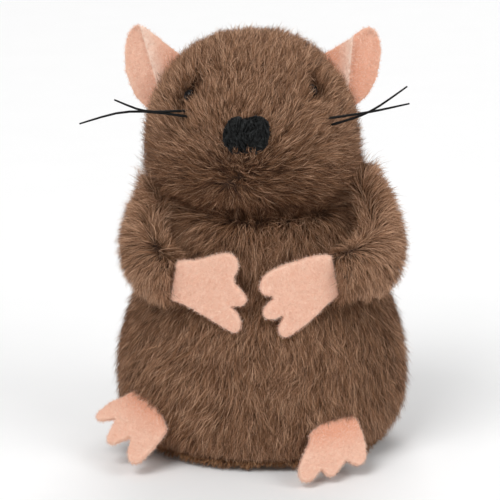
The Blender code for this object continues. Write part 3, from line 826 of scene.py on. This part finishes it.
def lighter_by(amount):
    """A function that gives each lock's shade, lighter by an amount."""
    return lambda points, seed: shade_of(points, seed) + amount


def head_length(points):
    """Pile length over the head: short round the nose and the eyes, and long on the crown."""
    far = ease(*NOSE_LENGTH_REACH, away_from(middle_of("nose_patch"), points))
    crown = 1 - ease(*CROWN_REACH, away_from(CROWN, points))
    length = SHORT_PILE + (LONG_PILE - SHORT_PILE) * far
    pit = eye_pit(points, *EYE_LENGTH_REACH)
    return length * (1 - EYE_SHORTENING * pit) * (1 + CROWN_GROWTH * crown)


def torso_length(points):
    """Pile length over the torso: shorter over the base's seam."""
    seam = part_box("base_panel")[1].z
    return PILE_LENGTH * grown(SEAM_LENGTH, ease(seam, seam + SEAM_LENGTH_RISE, points[:, 2]))


def pile_over(skin, name, flow_at, length_at, shade_at, close, seed, body, paint, keep=None):
    """Grows the pile over a skin, or the part that a test keeps, to meet the pieces that lie close."""
    roots, normals = scatter(skin, LOCKS_PER_MM2, seed)
    if keep:
        kept = keep(roots, normals)
        roots, normals = roots[kept], normals[kept]
    near = 1 - ease(*CLOSE_REACH, distance_to(surface_of(*close), roots))
    near *= 1 - SIDE_EASING * np.abs(normals[:, 0])
    beside_chin = ease(*CHIN_REACH, np.abs(roots[:, 0] - CHIN_X))
    flow = flow_at(roots)
    # Painted light: lighter locks where another piece lies close, easing the shade of the gap, but not beside
    # the chin
    shades = shade_at(roots, seed) + CLOSE_PAINTED_LIGHT * near * beside_chin
    length = length_at(roots) * (1 + CLOSE_GROWTH * near)
    rise = CLOSE_RISE * near
    order = np.argsort(roots[:, 2], kind="stable")
    for number, part in enumerate(np.array_split(order, math.ceil(len(order) / LOCKS_A_PIECE)), 1):
        grown_locks = locks(f"{name}_{number}", roots[part], normals[part], flow[part], length[part],
                            LOCK_WIDTH, shades[part], seed + number, rise=rise[part])
        finish(grown_locks, paint, body, "fur")


def make_skin(name, nodes, depth_at):
    """A smooth skin that lies under the fur's mean surface by the depth that a function gives."""
    skin = remeshed(name, nodes, FACE_SIZES[name.split("_")[0]])
    relax(skin, SKIN_SMOOTHING)
    sink(skin, depth_at)
    return skin


def make_head(fur, backing):
    """The head's skin and the pile of its two side panels."""
    covers = ["head_left_panel", "head_right_panel", "head_filling"]
    skin = make_skin("head_skin", covers, head_depth)
    finish(skin, backing, "head", "fur", *covers)
    middle = middle_of("head_left_panel", "head_right_panel").x
    patch = surface_of("nose_patch")
    close = ["body_front_panel", "body_back_panel", "arm_cover_right", "arm_cover_left"]
    for side, sign in SIDES.items():
        def keep(points, normals, sign=sign):
            under_nose = distance_to(patch, points) < NOSE_MARGIN
            return (sign * (points[:, 0] - middle) >= 0) & ~under_nose
        pile_over(skin, f"head_pile_{side}", head_flow, head_length, head_shade, close,
                  SEEDS["head"] + SIDE_SEED * sign, "head", fur, keep)


def make_torso(fur, backing):
    """The body's skin and the pile of its front and back panels."""
    covers = ["body_front_panel", "body_back_panel", "body_filling"]
    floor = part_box("base_panel")[1].z
    head = ["head_left_panel", "head_right_panel"]
    above = surface_of(*head)

    def depth(points):
        clear = grown(NAPE_DEPTH, ease(*NAPE_DEPTH_REACH, distance_to(above, points)))
        return BODY_PILE_DEPTH * clear * ease(floor, floor + SEAM_DEPTH_RISE, points[:, 2])

    skin = make_skin("body_skin", covers, depth)
    finish(skin, backing, "torso", "fur", *covers, "catnip_pouch")
    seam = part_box("body_front_panel")[1].y
    for name, sign in (("front", -1), ("back", 1)):
        def keep(points, normals, sign=sign):
            return (sign * (points[:, 1] - seam) >= 0) & (normals[:, 2] > UNDERSIDE)
        pile_over(skin, f"body_pile_{name}", torso_flow, torso_length, lighter_by(TORSO_SHADE), head,
                  SEEDS["body"] + SIDE_SEED * sign, "torso", fur, keep)


def make_neck(backing):
    """The gathered neck between head and body."""
    neck = remeshed("neck_gather", ["neck_stuffing"], FACE_SIZES["neck"])
    points, normals, _ = arrays_of(neck.data)
    middle = np.array(middle_of("neck_stuffing"))
    turn = np.arctan2(points[:, 1] - middle[1], points[:, 0] - middle[0])
    inwards = GATHER_DEPTH * (1 + np.sin(NECK_GATHERS * turn))
    set_points(neck.data, points - normals * inwards[:, None])
    finish(neck, backing, "neck", "stuffing", "neck_stuffing")


def make_arm(side, fur, backing):
    """An arm's skin and pile; its inner face stays close to the body."""
    nodes = [f"arm_cover_{side}", f"arm_filling_{side}"]
    panels, head = ["body_front_panel", "body_back_panel"], [f"head_{side}_panel"]
    torso, around = surface_of(*panels), surface_of(*panels, *head)

    def depth(points):
        return ARM_PILE_DEPTH * grown(ARM_DEPTH, ease(*ARM_DEPTH_REACH, distance_to(around, points)))

    def length(points):
        return LONG_PILE * grown(ARM_LENGTH, ease(*ARM_LENGTH_REACH, distance_to(torso, points)))

    skin = make_skin(f"arm_skin_{side}", nodes, depth)
    finish(skin, backing, f"arm_{side}", "fur", *nodes)
    pile_over(skin, f"arm_pile_{side}", arm_flow(side), length, lighter_by(ARM_SHADE), head,
              SEEDS["arm"] + SIDE_SEED * SIDES[side], f"arm_{side}", fur)


# Felt pieces

# Loose fibres on the felt
NAP_LENGTH = 0.7 * MM
NAP_WIDTH = 0.06 * MM
NAP_PER_MM2 = 16
NAP_LIFT = (60, 20)
NAP_STEPS = 2

# How high the face of the felt waves, and over what distance
FELT_WAVE = 0.10 * MM
FELT_WAVE_SIZE = 1.2 * MM

# The felt pieces' flat sizes, with what runs into the pile: from the cut edge to the tip, and along the
# seam, and how much of that they fill
HAND_CUT = ((16.8 * MM, 19.7 * MM), 0.69)
FOOT_CUT = ((13.2 * MM, 17.0 * MM), 0.79)
EAR_CUT = ((15.6 * MM, 15.8 * MM), 0.6)

# The painted shade on the felt, where the pile overlaps it, is deepest at the first distance from the head's
# or the body's middle, and plain at the second
EAR_PAINTED_SHADE = {"right": (20.0 * MM, 28.0 * MM), "left": (22.0 * MM, 42.0 * MM)}
FOOT_PAINTED_SHADE = (35.5 * MM, 40.5 * MM)

# How far the felt runs on into the pile behind its seam, and how near the seam it starts to
TUCKS = {"ear": 2.8 * MM, "hand": 0.8 * MM, "foot": 2.2 * MM}
TUCK_REACH = (1.0 * MM, 3.0 * MM)

# The crease of each ear, from near the seam to the tip: places in mm out from the seam and along it
EAR_CREASES = {"right": ((3.6, 0.6), (13.4, 8.5)), "left": ((1.7, -1.7), (9.3, 10.0))}

# How far the ply beside the crease stands forward, the width of its edge, and how soon it sinks back; the
# painted highlight on that ply has the same edge and fades as soon
EAR_PLY = {"right": 1.1 * MM, "left": 1.7 * MM}
PLY_EDGE = (-0.2 * MM, 0.3 * MM)
PLY_FADE = 3.5 * MM


def felt_directions(points, joint):
    """Directions out from a felt piece's seam and along it."""
    along = unit_rows(np.array([joint_part(joint, "axis")]))[0]
    out = points.mean(0) - np.array(joint_part(joint, "pos_m"))
    return unit_rows((out - along * (out @ along))[None])[0], along


def tucked(points, joint, carrier, tuck):
    """The points with those near the piece that carries them run on into its pile."""
    out = felt_directions(points, joint)[0]
    near = 1 - ease(*TUCK_REACH, distance_to(surface_of(carrier), points))
    return points - out * (tuck * near)[:, None]


def crease_plane(side):
    """The plane of an ear's crease: its normal, towards the head, and how far along that it lies."""
    joint = f"ear_{side}_fold"
    out, along = felt_directions(arrays_of(cad_mesh(f"ear_{side}"))[0], joint)
    along = along * np.sign(along[2])
    low, high = np.array(EAR_CREASES[side]) * MM
    run_out, run_along = (high - low) / np.linalg.norm(high - low)
    normal = along * run_out - out * run_along
    through = np.array(joint_part(joint, "pos_m")) + out * low[0] + along * low[1]
    return normal, through @ normal


def creased(points, side):
    """An ear's points with the ply on the head's side of its crease brought forward."""
    normal, offset = crease_plane(side)
    inward = points @ normal - offset
    lift = ease(*PLY_EDGE, inward) * np.exp(-np.maximum(inward, 0) / PLY_FADE)
    return points - np.array([0, 1, 0]) * (EAR_PLY[side] * lift)[:, None]


def make_felt(node, carrier, felt, nap, seed, flat, filled):
    """A felt piece in the CAD piece's outline, softened, bent a little, with loose fibres on its face."""
    part, side = node.split("_")
    name = f"{part}_felt_{side}"
    piece = remeshed(name, [node], FACE_SIZES["felt"])
    relax(piece, SKIN_SMOOTHING)
    points, normals, _ = arrays_of(piece.data)
    hinge = next(joint["name"] for joint in frame["joints"] if joint["child"] == node)
    points = tucked(points, hinge, carrier, TUCKS[part])
    if part == "ear":
        points = creased(points, side)
    wave = FELT_WAVE * drift(points, FELT_WAVE_SIZE, seed)[:, :1]
    set_points(piece.data, points + normals * wave)
    finish(piece, felt, node, "felt", node)
    roots, normals = scatter(piece, NAP_PER_MM2, seed)
    rng = np.random.default_rng(seed)
    fuzz = locks(f"{name}_nap", roots, normals, rng.normal(0, 1, roots.shape), NAP_LENGTH, NAP_WIDTH,
                 rng.random(len(roots)), seed, lift=NAP_LIFT, steps=NAP_STEPS, tufts=1)
    finish(fuzz, nap, node, "felt")


# Face

# The stitches of the nose: their number, thread, half lengths and rise in mm, and how much they differ
STITCHES = 520
STITCH_POINTS = 6
THREAD_RADIUS = 0.13 * MM
THREAD_SPREAD = 0.15
STITCH_HALVES = (0.6, 1.5)
STITCH_RISES = (0.05, 0.4)
STITCH_TURN = 0.7
PAD_INSET = 0.15 * MM

# The pile over the nose's lower edge: how far in and over the pad it starts, its length, how dense it is,
# how ragged, and how far across the pad it runs
FRINGE_REACH = 0.8 * MM
FRINGE_LIFT = 0.3 * MM
FRINGE_LENGTH = 2.0 * MM
FRINGE_PER_MM2 = 22.0
FRINGE_RISE = 12
FRINGE_RAGS = 1.6
FRINGE_RAG_SIZE = 1.2 * MM
FRINGE_SPAN = 0.75
FRINGE_SPREAD = 4 * MM
FRINGE_SPREAD_SIZE = 1.5 * MM

# The notch of pile in the nose's upper edge: its height, and half its share of the width
NOTCH_HEIGHT = 0.9 * MM
NOTCH_HALF = 0.09

# The beads of the eyes: how far each sits in the pile, and the share of a ball that its back is deep
BEAD_SINK = {"right": 1.4 * MM, "left": 2.2 * MM}
BEAD_BACK = 0.55
BEAD_RINGS = 14
BEAD_SIDES = 24

# The whiskers, thickest in the cheek, and how far each runs into it
WHISKER_RADIUS = 0.31 * MM
WHISKER_TAPER = 0.4
WHISKER_ROOT = 5 * MM
WHISKER_ROWS = 9
WHISKER_POINTS = 28


def nose_threads():
    """Satin stitches over the nose pad, laid by hand."""
    low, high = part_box("nose_patch")
    tree = surface_of("nose_patch")
    rng = np.random.default_rng(SEEDS["stitches"])
    shares = np.linspace(-1, 1, STITCH_POINTS)

    def front(x, z):
        hit = tree.ray_cast(Vector((x, low.y - 5 * MM, z)), Vector((0, 1, 0)))[0]
        return None if hit is None else np.array(hit)

    lines = []
    for _ in range(STITCHES):
        x, z = rng.uniform(low.x, high.x), rng.uniform(low.z, high.z)
        turn = rng.normal(math.pi / 2, STITCH_TURN)
        half = rng.uniform(*STITCH_HALVES) * MM
        spots = [front(x + s * half * math.cos(turn), z + s * half * math.sin(turn)) for s in shares]
        if any(spot is None for spot in spots):
            continue
        rise = rng.uniform(*STITCH_RISES) * MM
        lines.append(np.array(spots) - np.array([0, 1, 0]) * (rise * (1 - shares**4))[:, None])
    radii = [THREAD_RADIUS * rng.normal(1, THREAD_SPREAD) for _ in lines]
    return tubes("nose_stitches", lines, radii)


def nose_fringe(pad):
    """Short pile that lies over the nose's lower edge and over the notch in its upper edge."""
    seed = SEEDS["fringe"]
    roots, normals = scatter(pad, FRINGE_PER_MM2, seed)
    low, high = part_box("nose_patch")
    across = (roots[:, 0] - low.x) / (high.x - low.x)
    ragged = drift(roots, FRINGE_RAG_SIZE, seed + 1)[:, 0] * MM
    lower = (roots[:, 2] < low.z + FRINGE_REACH + FRINGE_RAGS * ragged) & (across < FRINGE_SPAN)
    notch = (roots[:, 2] > high.z - NOTCH_HEIGHT) & (np.abs(across - 0.5) < NOTCH_HALF)
    kept = (normals[:, 1] < -0.3) & (lower | notch)
    roots, normals = roots[kept], normals[kept]
    flow = roots - np.array(WHORL) + FRINGE_SPREAD * drift(roots, FRINGE_SPREAD_SIZE, seed + 2)
    length = np.full(len(roots), FRINGE_LENGTH)
    roots = roots + normals * FRINGE_LIFT
    shades = shade_of(roots, seed + 3)
    return locks("nose_fringe", roots, normals, flow, length, LOCK_WIDTH, shades, seed + 4, rise=FRINGE_RISE)


def make_nose(thread, fur):
    """The nose: a firm pad with stitches over it, and the pile that lies over its edge."""
    pad = remeshed("nose_pad", ["nose_patch"], FACE_SIZES["nose"])
    relax(pad, NOSE_SMOOTHING)
    points, normals, _ = arrays_of(pad.data)
    set_points(pad.data, points - normals * PAD_INSET)
    finish(pad, thread, "head", "thread", "nose_patch")
    finish(nose_threads(), thread, "head", "thread", "nose_patch")
    finish(nose_fringe(pad), fur, "head", "fur")


def bead_rings(radius):
    """The rings of a domed bead with a flat back, as reach and height of each."""
    rings = []
    for angle in np.linspace(0, math.pi, BEAD_RINGS)[1:-1]:
        flatness = 1.0 if angle < math.pi / 2 else BEAD_BACK
        rings.append((radius * math.sin(angle), radius * flatness * math.cos(angle)))
    return rings


def make_eye(side, bead):
    """A bead seated in the pile, that looks out from the head's middle."""
    low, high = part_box(f"eye_{side}")
    middle = (low + high) / 2
    out = (middle - middle_of("head_filling")).normalized()
    middle -= out * BEAD_SINK[side]
    turn = out.to_track_quat("Z", "Y").to_matrix()
    turns = [2 * math.pi * i / BEAD_SIDES for i in range(BEAD_SIDES)]
    bm = bmesh.new()
    rings = []
    for reach, height in bead_rings((high.x - low.x) / 2):
        ring = [Vector((reach * math.cos(t), reach * math.sin(t), height)) for t in turns]
        rings.append([bm.verts.new(middle + turn @ spot) for spot in ring])
    for one, two in zip(rings, rings[1:]):
        for i in range(BEAD_SIDES):
            after = (i + 1) % BEAD_SIDES
            bm.faces.new((one[i], two[i], two[after], one[after]))
    bm.faces.new(rings[0])
    bm.faces.new(list(reversed(rings[-1])))
    bmesh.ops.recalc_face_normals(bm, faces=bm.faces)
    mesh = bpy.data.meshes.new(f"eye_bead_{side}")
    bm.to_mesh(mesh)
    bm.free()
    mesh.shade_smooth()
    finish(link(f"eye_bead_{side}", mesh), bead, "head", "bead", f"eye_{side}")


def make_whisker(node, bristle):
    """A drawn bristle along the CAD whisker, from inside the cheek to a fine tip."""
    points = arrays_of(cad_mesh(node))[0]
    sign = 1 if points[:, 0].mean() > 0 else -1
    rows = np.array_split(points[np.argsort(sign * points[:, 0])], WHISKER_ROWS)
    line = np.array([row.mean(0) for row in rows])
    root = line[0] - WHISKER_ROOT * unit_rows((line[1] - line[0])[None])[0]
    line = np.vstack([root, line])
    spans = np.linspace(0, len(line) - 1, WHISKER_POINTS)
    line = np.stack([np.interp(spans, np.arange(len(line)), line[:, axis]) for axis in range(3)], axis=1)
    radii = WHISKER_RADIUS * (1 - WHISKER_TAPER * np.linspace(0, 1, len(line)) ** 2)
    whisker = tubes(node.replace("whisker", "bristle"), [line], [radii], around=8)
    finish(whisker, bristle, "head", "bristle", node)


# Base

# How far the base's edge stands in, and how level the faces are that don't count as its edge
BASE_INSET = 1.5 * MM
EDGE_LEVEL = 0.6

# The pile of the edge: its length and run, and how much they differ
RIM_PILE = 1.7 * MM
RIM_SPREAD = 0.5
RIM_SPREAD_SIZE = 4 * MM
RIM_RUN = np.array([0, 0, -0.6])
RIM_RUN_SIZE = 2.5 * MM
RIM_LIFT = (70, 30)


def make_base(paint, rim):
    """The base of short plush, with the pile of its turned edge."""
    base = remeshed("base_cloth", ["base_panel"], FACE_SIZES["base"])
    relax(base, BASE_SMOOTHING)
    points, normals, _ = arrays_of(base.data)
    edge = np.abs(normals[:, 2:3]) < EDGE_LEVEL
    set_points(base.data, points - normals * edge * BASE_INSET)
    finish(base, paint, "torso", "base_plush", "base_panel")
    seed = SEEDS["rim"]
    roots, normals = scatter(base, LOCKS_PER_MM2, seed)
    edge = np.abs(normals[:, 2]) < EDGE_LEVEL
    roots, normals = roots[edge], normals[edge]
    flow = RIM_RUN + drift(roots, RIM_RUN_SIZE, seed + 1)
    length = RIM_PILE * (1 + RIM_SPREAD * drift(roots, RIM_SPREAD_SIZE, seed + 2)[:, 0])
    shades = shade_of(roots, seed + 3)
    pile = locks("base_pile", roots, normals, flow, length, LOCK_WIDTH, shades, seed + 4, lift=RIM_LIFT)
    finish(pile, rim, "torso", "base_plush")


# Stage

# The floor's side and how far it lies under the toy, in metres
FLOOR_SIDE = 6
FLOOR_DROP = 0.05 * MM

# The lamps: name, place, size and power, all turned to one place in the toy
LAMPS = (
    ("key", (-0.70, -1.10, 1.50), 1.0, 21.0),
    ("fill", (1.2, -0.90, 0.90), 1.2, 10.5),
    ("back", (0.2, 1.2, 1.4), 1.0, 12.0),
)
LAMP_AIM = Vector((0, 0, 0.05))
SURROUND_LIGHT = 0.34

# The view: what the camera looks at, from how far and how high, and the width that it shows
VIEW_AIM = Vector((-2.8, 0, 45.6)) * MM
VIEW_DISTANCE = 700 * MM
VIEW_RISE = math.radians(15)
VIEW_WIDTH = 116.0 * MM
SENSOR_WIDTH = 36


def make_floor():
    """A plain pale floor."""
    bpy.ops.mesh.primitive_plane_add(size=FLOOR_SIDE, location=(0, 0, -FLOOR_DROP))
    floor = bpy.context.object
    floor.name = "floor"
    paint = Paint("floor_pale", Roughness=0.9, Specular_IOR_Level=0.1)
    grey, pale = (0.93, 0.93, 0.93), (0.95, 0.95, 0.95)
    paint.to("Base Color", paint.mix(paint.noise(20 * MM), grey, pale))
    floor.data.materials.append(paint.material)


def make_lamps():
    """Soft lamps in front, at the side and behind."""
    for name, place, size, power in LAMPS:
        lamp = bpy.data.lights.new(name, "AREA")
        lamp.size = size
        lamp.energy = power
        item = bpy.data.objects.new(name, lamp)
        item.location = place
        item.rotation_euler = (LAMP_AIM - Vector(place)).to_track_quat("-Z", "Y").to_euler()
        bpy.context.collection.objects.link(item)


def make_surround():
    """A white background that lights the toy softly."""
    world = bpy.data.worlds.new("surround")
    bpy.context.scene.world = world
    world.use_nodes = True
    surround = Nodes(world.node_tree)
    surround.tree.nodes.clear()
    white = (1, 1, 1, 1)
    seen = surround.node("ShaderNodeBackground", Color=white, Strength=1.0)
    around = surround.node("ShaderNodeBackground", Color=white, Strength=SURROUND_LIGHT)
    to_camera = surround.node("ShaderNodeLightPath")
    blend = surround.node("ShaderNodeMixShader", inputs=[to_camera, around, seen])
    surround.node("ShaderNodeOutputWorld", inputs=[blend])


def make_camera():
    """The photograph's view: level with the toy's middle, from a little above."""
    camera = bpy.data.cameras.new("camera")
    camera.sensor_width = SENSOR_WIDTH
    camera.lens = SENSOR_WIDTH * VIEW_DISTANCE / VIEW_WIDTH
    camera.clip_start = 0.01
    item = bpy.data.objects.new("camera", camera)
    item.location = VIEW_AIM + VIEW_DISTANCE * Vector((0, -math.cos(VIEW_RISE), math.sin(VIEW_RISE)))
    item.rotation_euler = (math.pi / 2 - VIEW_RISE, 0, 0)
    bpy.context.collection.objects.link(item)
    bpy.context.scene.camera = item


def main():
    """Builds the stage and every piece of the toy."""
    bpy.context.scene.view_settings.view_transform = "Standard"
    make_camera()
    make_floor()
    make_lamps()
    make_surround()
    fur, backing, nap, thread = fur_paint(), backing_paint(), nap_paint(), thread_paint()
    felt = felt_paint("felt_peach")
    foot_felt = felt_paint("felt_foot", middle_of("body_filling"), FOOT_PAINTED_SHADE)
    make_torso(fur, backing)
    make_neck(backing)
    make_head(fur, backing)
    make_base(base_paint(), rim_paint())
    make_nose(thread, fur)
    bead, bristle = bead_paint(), bristle_paint()
    for node in [name for name in frame["nodes"] if name.startswith("whisker")]:
        make_whisker(node, bristle)
    for number, side in enumerate(SIDES):
        make_eye(side, bead)
        make_arm(side, fur, backing)
        make_felt(f"hand_{side}", f"arm_cover_{side}", felt, nap, SEEDS["hand"] + number, *HAND_CUT)
        make_felt(f"foot_{side}", "body_front_panel", foot_felt, nap, SEEDS["foot"] + number, *FOOT_CUT)
        crease = crease_plane(side)
        ear_felt = felt_paint(f"felt_ear_{side}", middle_of("head_filling"), EAR_PAINTED_SHADE[side], crease)
        make_felt(f"ear_{side}", f"head_{side}_panel", ear_felt, nap, SEEDS["ear"] + number, *EAR_CUT)


main()
